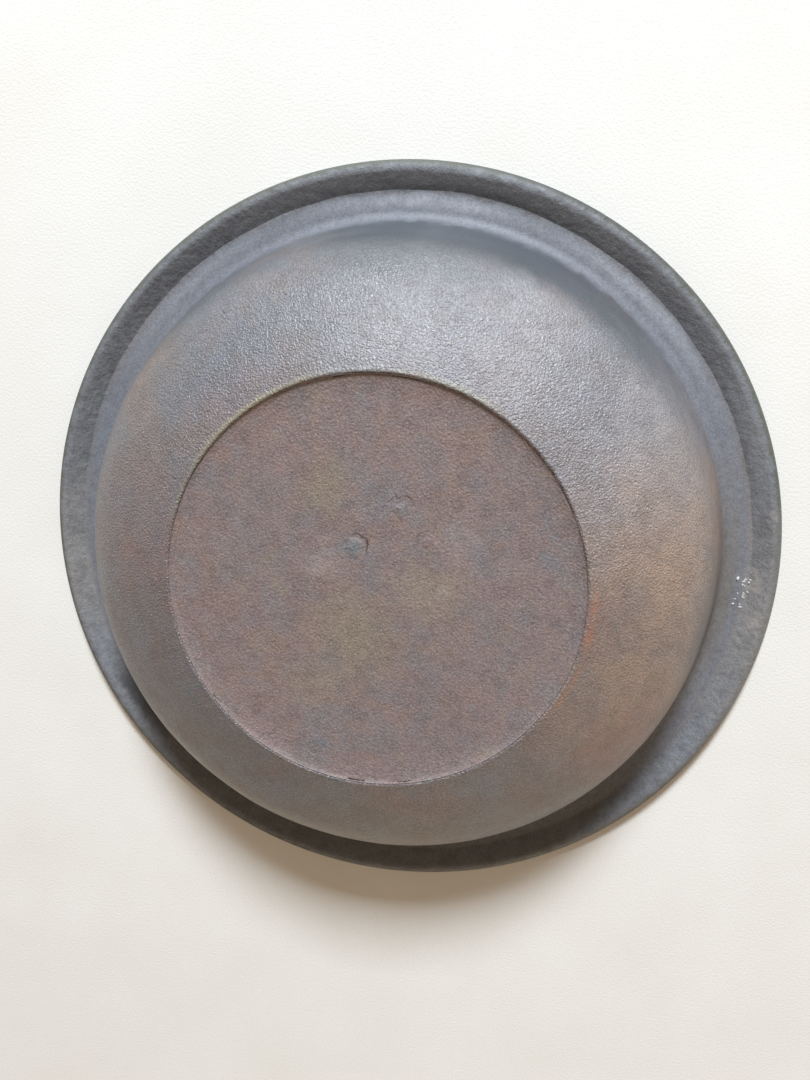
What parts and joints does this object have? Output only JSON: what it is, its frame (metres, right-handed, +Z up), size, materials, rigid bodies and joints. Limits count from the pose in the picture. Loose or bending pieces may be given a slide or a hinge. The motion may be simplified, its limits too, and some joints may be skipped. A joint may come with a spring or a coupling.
{
  "type": "flanged iron pan",
  "caption": "Round iron pan lying mouth down: domed body, flat flange, edge rolled over a wire, recessed base plate with a riveted patch.",
  "frame": {"origin": "centre of the mouth, on the surface that the rim rests on", "axes": "+Z up along the pan's axis, from the mouth to the base; the riveted patch lies towards +Y"},
  "size_m": [0.24, 0.24, 0.0521],
  "materials": {
    "sheet_iron": "dark scale with brown rust, pitted, half dull",
    "base_iron": "brown rust, dull",
    "steel_wire": "plain drawn",
    "braze_metal": "tarnished, dull",
    "rivet_iron": "hammered, worn dark"
  },
  "bodies": {
    "root": {"bowl_shell": "sheet_iron", "rim_wire": "steel_wire", "base_plate": "base_iron", "base_braze": "braze_metal", "inner_patch": "base_iron", "patch_rivets": "rivet_iron"}
  },
  "joints": []
}
